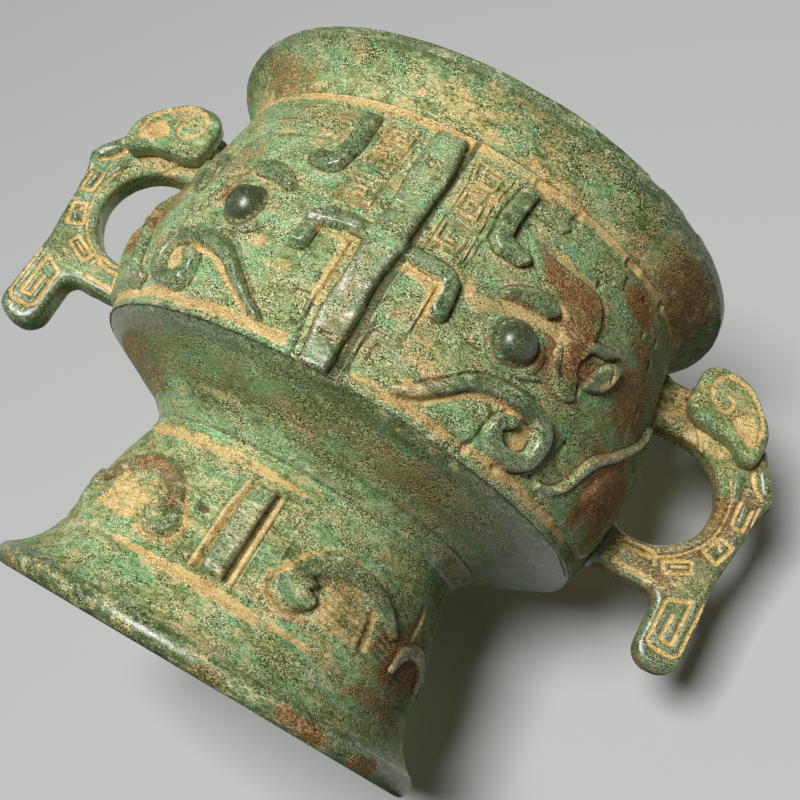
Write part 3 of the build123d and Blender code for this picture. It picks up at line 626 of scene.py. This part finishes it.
# Braze: the lumpy fillet of filler metal that was run into the corner between the foot and the bowl.
# It is a little darker and smoother than the castings on both sides of it.
braze_outline = [(37.6, 43.6), (38.15, 43.8), (38.5, 44.6), (39.0, 45.5), (39.65, 46.3), (40.4, 47.0),
                 (41.2, 47.65), (41.6, 48.0), (40.6, 48.3), (37.6, 46.9)]
braze_mesh = turn_shell("braze_fillet", braze_outline, 360)
points = points_of(braze_mesh)
points += normals_of(braze_mesh) * (0.12 * cloud(points, 4, 61) + 0.05 * cloud(points, 1.6, 62))[:, None]
set_points(braze_mesh, points)
weather(braze_mesh, 6, polish=0.45)
place("braze_fillet", braze_mesh, vessel_patina, "braze_bronze", "foot_braze")

# Handles: each is one casting of a loop, an animal's head at its top and a hanging tab, set on the belly.
# The flat sides carry square spirals cut as grooves, full of earth; edges are rounded and the head's mouth is cut.
# The right one is darker and browner than the left, which has the vessel's own green.
loop_x, loop_z = 68.5, 87.0
handle_colours = dict(
    vessel_colours,
    ground=[(0.41, (0.030, 0.036, 0.008)), (0.46, (0.095, 0.115, 0.032)), (0.50, (0.205, 0.25, 0.08)),
            (0.54, (0.40, 0.43, 0.16)), (0.59, (0.74, 0.68, 0.31))],
    fresh=[(0.41, (0.015, 0.042, 0.013)), (0.50, (0.14, 0.31, 0.12)), (0.59, (0.52, 0.70, 0.37))],
    dry=[(0.41, (0.06, 0.04, 0.011)), (0.50, (0.34, 0.25, 0.085)), (0.59, (0.82, 0.66, 0.31))],
    proud=[(0.41, (0.013, 0.025, 0.009)), (0.50, (0.085, 0.14, 0.055)), (0.59, (0.42, 0.52, 0.27))],
    soil=[(0.41, (0.26, 0.15, 0.035)), (0.49, (0.64, 0.43, 0.14)), (0.58, (0.92, 0.75, 0.38))])
handle_patina = patina("handle_patina", 0.55, **handle_colours)
handle_grooves = [
    ribbon([(86.0, 92.6), (86.0, 87.2), (86.8, 86.5), (88.9, 86.6), (89.2, 91.6)], 0.55, -0.7, 0.5),
    ribbon([(90.3, 93.4), (90.4, 84.4)], 0.3, -0.4, 0.3),
    ribbon([(85.2, 83.4), (88.5, 82.2), (86.8, 76.9), (83.2, 78.5), (85.2, 83.4)], 0.55, -0.7, 0.5),
    ribbon([(85.5, 82.0), (86.2, 80.2)], 0.4, -0.6, 0.4),
    ribbon([(76.2, 72.0), (82.1, 75.1), (83.3, 72.7), (77.6, 69.8), (76.2, 72.0)], 0.55, -0.7, 0.5),
    ribbon([(78.6, 71.8), (81.6, 73.3)], 0.4, -0.6, 0.4),
    ribbon([(66.4, 72.4), (74.2, 73.0), (75.0, 70.4)], 0.5, -0.65, 0.45),
    ribbon([(73.6, 71.4), (68.0, 71.0), (67.2, 68.6), (66.6, 67.0), (74.4, 67.2)], 0.55, -0.7, 0.5),
    ribbon([(80.9, 54.8), (80.9, 64.9), (85.8, 67.0), (85.8, 56.4), (83.3, 56.4), (83.3, 62.2)], 0.55, -0.7, 0.5),
    ribbon([(80.9, 54.8), (82.0, 53.8), (87.0, 53.8), (88.2, 55.4), (88.3, 67.6)], 0.5, -0.65, 0.45),
    ribbon(rounded([(84.6, 105.6), (85.2, 101), (86.6, 97.8), (89.8, 95.2)]), [0.4, 0.7, 0.7, 0.4], -1.0, 0.7),
    ribbon(rounded([(65.6, 109), (69.6, 104.2), (74, 98.4)]), [0.4, 0.5, 0.4], -0.9, 0.5),
    ribbon([(loop_x + 15.9 * math.cos(t), loop_z + 15.9 * math.sin(t)) for t in np.radians(range(-95, 36, 10))],
           0.35, -0.5, 0.35),
]
handle_forms = handle_grooves + [
    ribbon([(83.3, 97.6), (83.8, 92.4)], [1.2, 1.6], 0.75, 1.2),
    ribbon([(88.0, 100.6), (90.2, 97.4)], 1.6, 0.75, 1.3),
    ribbon([(87.4, 91.4), (87.6, 88.6)], 0.9, 0.5, 0.7),
    ribbon([(86.6, 80.6), (85.2, 78.8)], 0.8, 0.5, 0.6),
    ribbon([(79.2, 71.2), (81.6, 72.4)], 0.6, 0.45, 0.5),
]
handle_earth = [(75, 101.2, 7, 2.6, 0.4), (63, 106, 6, 6, 0.4), (82, 69, 4, 2.2, 0.3), (85.8, 103, 1.6, 1.8, 0.5),
                (73.5, 67, 8, 1, 0.5)]


def recast(node, voxel):
    """Even mesh in the shape of a solid, ready to be carved."""
    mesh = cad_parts[node].data.copy()
    bm = bmesh.new()
    bm.from_mesh(mesh)
    bmesh.ops.remove_doubles(bm, verts=bm.verts, dist=1e-6)
    bm.to_mesh(mesh)
    bm.free()
    blank = bpy.data.objects.new(node + "_blank", mesh)
    bpy.context.scene.collection.objects.link(blank)
    even = blank.modifiers.new("even", "REMESH")
    even.mode = "VOXEL"
    even.voxel_size = voxel * MM
    found = bpy.data.meshes.new_from_object(blank.evaluated_get(bpy.context.evaluated_depsgraph_get()))
    bpy.data.objects.remove(blank)
    bpy.data.meshes.remove(mesh)
    return found


def handle_side(name, node, seed, brown, material):
    """One handle, carved on both flat sides."""
    mesh = recast(node, 0.34)
    points = soften(mesh, points_of(mesh), 7)
    set_points(mesh, points)
    normals = normals_of(mesh)
    across = np.abs(points[:, 0])
    facing = np.sign(normals[:, 1]) * ease(np.abs(normals[:, 1]), 0.35, 0.8)
    shifted = points + 0.35 * np.stack([cloud(points, 6, seed + k) for k in range(3)], 1)
    points[:, 1] += facing * carve(np.abs(shifted[:, 0]), shifted[:, 2], handle_forms)
    filled = -carve(np.abs(shifted[:, 0]), shifted[:, 2], handle_grooves) * np.abs(facing)
    wider = [(path, np.add(half, 0.45), -1.0, 0.3, closed) for path, half, _, _, closed in handle_grooves]
    groove_edge_shade = -carve(np.abs(shifted[:, 0]), shifted[:, 2], wider) * np.abs(facing) * ease(-filled, -0.3, -0.1)
    gap = reach_of(points) - belly_at(points[:, 2])
    root_swell = 1.1 * np.exp(-(np.maximum(gap, 0) / 1.6) ** 2)
    lift = root_swell + 0.2 * cloud(points, 8, seed + 4)
    lift += 0.1 * cloud(points, 2.4, seed + 5) + 0.05 * cloud(points, 1.1, seed + 6)
    points += normals * lift[:, None]
    set_points(mesh, points)
    from_loop = np.hypot(across - loop_x, points[:, 2] - loop_z)
    inner_band = ease(-from_loop, -15.6, -14.6)
    arm = ease(points[:, 2], 95, 98) * ease(-across, -82, -79)
    earthy = stain(across, points[:, 2], handle_earth, seed + 8)
    # Painted shade: the rounded edges of the loop, its inner face and the edges of the grooves are made darker.
    weather(mesh, seed, rust=brown + 0.4 * ease(cloud(points, 10, seed + 7), 0.1, 0.6),
            earth=2.6 * filled + earthy + 0.15 * np.maximum(inner_band, arm),
            polish=0.45 * np.abs(facing) * ease(from_loop, 16.4, 17.2) * (1 - arm),
            grime_and_shade=(0.8 * np.abs(facing) + 0.4 * inner_band) * (1 - np.abs(facing)) + 0.6 * groove_edge_shade)
    place(name, mesh, material, "handle_bronze", node)


handle_side("right_loop", "right_handle", 71, 0.42, handle_patina)
handle_side("left_loop", "left_handle", 81, 0.0, vessel_patina)

# Ears: leaf-shaped plates that stand proud of both sides of each head, with a rounded edge and a shallow dish.
# One cut line follows the edge and curls up inside it, full of earth.
ear_forms = [
    ribbon(rounded([(83.0, 105.4), (82.4, 109.6), (79.4, 113.6), (75, 116.4), (70.6, 116.6), (68.8, 113.6),
                    (69.4, 110.4), (71.8, 108.4), (74.2, 109), (74.4, 111.4), (72.8, 112.2)]),
           [0.4, 0.5, 0.55, 0.6, 0.6, 0.6, 0.6, 0.6, 0.6, 0.55, 0.45], -0.5, 0.5),
    panel(rounded([(76, 107.4), (79, 110.6), (81.8, 106.6), (82.4, 103.2), (79.6, 104.2)], True), 0.2, -0.5, 1.4),
]
ear_dish = panel(rounded([(82.4, 103.8), (82.9, 107), (81.4, 111), (78.4, 114.3), (74.6, 116.4), (70.9, 116.4),
                          (69.3, 113.6), (69.9, 110.6), (72.4, 108.4), (76, 107), (79.6, 104.4)], True),
                 0.3, -0.45, 0.9)
ear_earth = [(80, 106.4, 3.4, 3.2, 0.6)]


def ear_leaf(name, node, seed, material):
    """One ear, carved on its outer side."""
    mesh = recast(node, 0.28)
    points = soften(mesh, points_of(mesh), 8)
    set_points(mesh, points)
    normals = normals_of(mesh)
    side = np.sign(points[:, 1].mean())
    facing = ease(side * normals[:, 1], 0.3, 0.8)
    across, height = np.abs(points[:, 0]), points[:, 2].copy()
    filled = -facing * carve(across, height, ear_forms)
    points[:, 1] -= side * (filled - facing * carve(across, height, [ear_dish]))
    points += normals * (0.15 * cloud(points, 6, seed) + 0.08 * cloud(points, 1.8, seed + 1))[:, None]
    set_points(mesh, points)
    weather(mesh, seed, polish=0.9 * (1 - facing),
            earth=2.0 * filled + facing * (0.1 + stain(across, height, ear_earth, seed + 2)))
    place(name, mesh, material, "handle_bronze", node)


ear_leaf("right_front_leaf", "right_front_ear", 91, handle_patina)
ear_leaf("right_rear_leaf", "right_rear_ear", 94, handle_patina)
ear_leaf("left_front_leaf", "left_front_ear", 97, vessel_patina)
ear_leaf("left_rear_leaf", "left_rear_ear", 100, vessel_patina)


# Rivets: bronze pins through the handle roots, with domed heads inside the bowl.
# Hammering has left small dents in the heads, and they are a little browner than the wall around them.
def hammered_rivet(name, node, seed):
    """One rivet with a dented head."""
    mesh = recast(node, 0.3)
    points = soften(mesh, points_of(mesh), 2)
    set_points(mesh, points)
    points += normals_of(mesh) * (0.16 * cloud(points, 2.6, seed) - 0.05)[:, None]
    set_points(mesh, points)
    weather(mesh, seed, rust=0.3)
    place(name, mesh, handle_patina, "rivet_bronze", node)


hammered_rivet("right_upper_pin", "right_upper_rivet", 111)
hammered_rivet("right_lower_pin", "right_lower_rivet", 112)
hammered_rivet("left_upper_pin", "left_upper_rivet", 113)
hammered_rivet("left_lower_pin", "left_lower_rivet", 114)

# Stage: a pale floor under the vessel and a pale table top close behind it, which catches its shadow.
# Each shows only its upper or front side; a soft key lamp stands to the left and a weak one behind.
leaning = Matrix.Rotation(math.radians(-26), 3, "Z") @ Matrix.Rotation(math.radians(84), 3, "X")
for name, spin, at, grey in (("floor", Matrix.Identity(3), (0, 0, 0), (0.80, 0.80, 0.79, 1)),
                             ("table_top", leaning, (0.0287, 0.0589, 0.064), (0.480, 0.490, 0.486, 1))):
    sheet_grey = bpy.data.materials.new(name + "_grey")
    sheet_grey.use_nodes = True
    tree = sheet_grey.node_tree
    surface = tree.nodes["Principled BSDF"]
    surface.inputs["Base Color"].default_value = grey
    surface.inputs["Roughness"].default_value = 0.7
    clear = wire(tree, "BsdfTransparent", {})
    behind = wire(tree, "NewGeometry", {}).outputs["Backfacing"]
    seen = wire(tree, "MixShader", {0: behind, 1: surface.outputs[0], 2: clear.outputs[0]})
    tree.links.new(seen.outputs[0], tree.nodes["Material Output"].inputs["Surface"])
    bm = bmesh.new()
    bmesh.ops.create_grid(bm, x_segments=1, y_segments=1, size=2.5)
    bmesh.ops.rotate(bm, verts=bm.verts, cent=(0, 0, 0), matrix=spin)
    bmesh.ops.translate(bm, verts=bm.verts, vec=at)
    sheet = bpy.data.meshes.new(name)
    bm.to_mesh(sheet)
    bm.free()
    sheet.materials.append(sheet_grey)
    plane = bpy.data.objects.new(name, sheet)
    bpy.context.scene.collection.objects.link(plane)
    plane.visible_shadow = False
    plane.visible_diffuse = False

world = bpy.data.worlds.new("soft_room")
world.use_nodes = True
world.node_tree.nodes["Background"].inputs["Color"].default_value = (1.0, 0.95, 0.88, 1)
world.node_tree.nodes["Background"].inputs["Strength"].default_value = 0.07
bpy.context.scene.world = world
for name, at, size, power in (("key", (-0.572, -1.492, -0.040), 0.6, 30.0),
                              ("rear", (0.0, 0.75, 0.75), 0.6, 8.0)):
    lamp = bpy.data.lights.new(name, "AREA")
    lamp.size, lamp.energy = size, power
    stand = bpy.data.objects.new(name, lamp)
    stand.location = at
    stand.rotation_mode = "QUATERNION"
    stand.rotation_quaternion = (Vector((0, 0, 0.06)) - Vector(at)).to_track_quat("-Z", "Y")
    bpy.context.scene.collection.objects.link(stand)

# Camera: at the photograph's viewing angle, low in front of the foot and rolled.
azimuth, elevation, roll = math.radians(10.13), math.radians(-15.98), math.radians(30.75)
back = Vector((math.sin(azimuth) * math.cos(elevation), -math.cos(azimuth) * math.cos(elevation),
               math.sin(elevation)))
level = Vector((math.cos(azimuth), math.sin(azimuth), 0))
upward = back.cross(level)
aside = level * math.cos(roll) + upward * math.sin(roll)
upright = upward * math.cos(roll) - level * math.sin(roll)
lens = bpy.data.cameras.new("view")
lens.lens, lens.sensor_width = 54.21, 36.0
lens.clip_start = 0.01
camera = bpy.data.objects.new("view", lens)
camera.matrix_world = Matrix((aside, upright, back)).transposed().to_4x4()
camera.location = (0.054416, -0.267953, -0.000355)
bpy.context.scene.collection.objects.link(camera)
bpy.context.scene.camera = camera
bpy.context.scene.view_settings.view_transform = "Standard"
